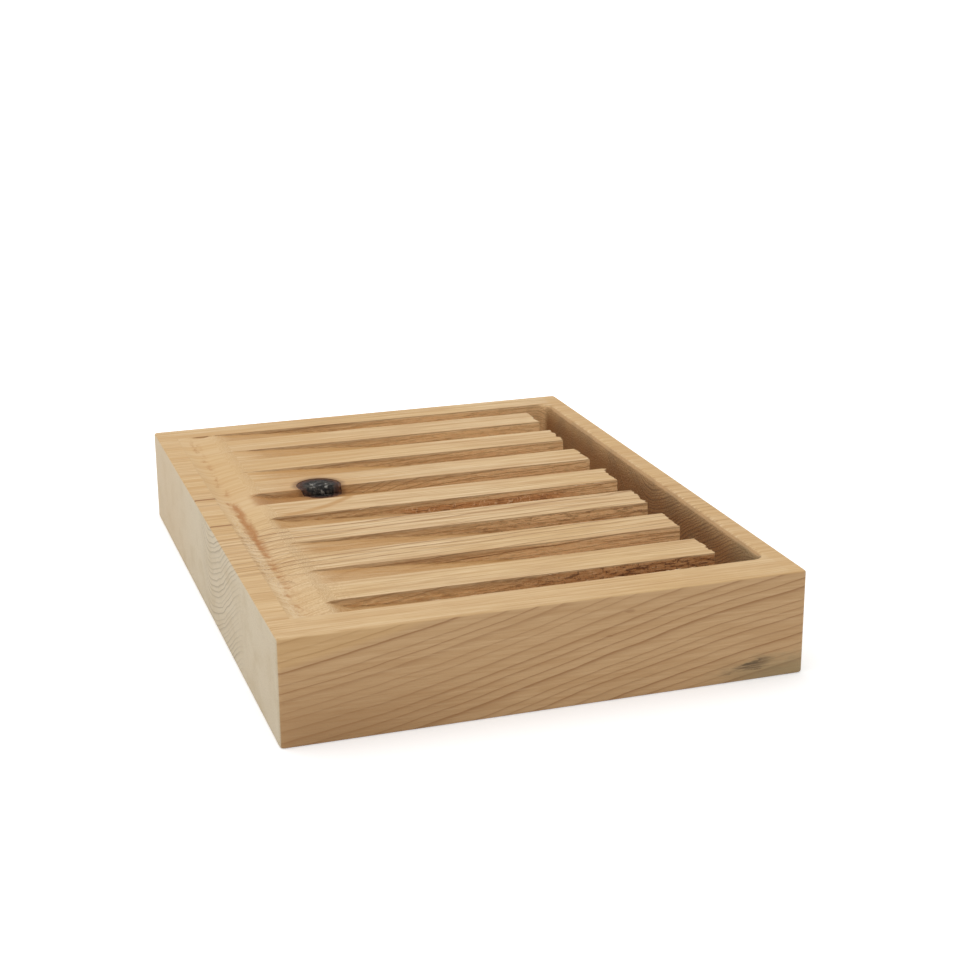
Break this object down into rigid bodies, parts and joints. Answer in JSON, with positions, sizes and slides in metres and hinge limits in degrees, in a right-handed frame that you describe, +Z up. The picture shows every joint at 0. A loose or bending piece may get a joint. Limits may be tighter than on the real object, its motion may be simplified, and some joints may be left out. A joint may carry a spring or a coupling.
{
  "type": "soap dish",
  "caption": "Rectangular wooden soap dish milled from one board, with raised ribs over sloping grooves that drain into a cross channel, and a dead knot.",
  "frame": {"origin": "middle of the underside, in the plane that the dish stands on", "axes": "+X along the ribs and the grain, from the shallow gutter to the deep channel; +Y from the front face to the back face; +Z up"},
  "size_m": [0.103, 0.1366, 0.021],
  "materials": {
    "softwood": "planed and sanded, raw",
    "bark": "rough, raw",
    "knot_wood": "resinous, half gloss"
  },
  "bodies": {
    "root": {"milled_block": "softwood", "bark_collar": "bark", "dead_knot": "knot_wood"}
  },
  "joints": []
}
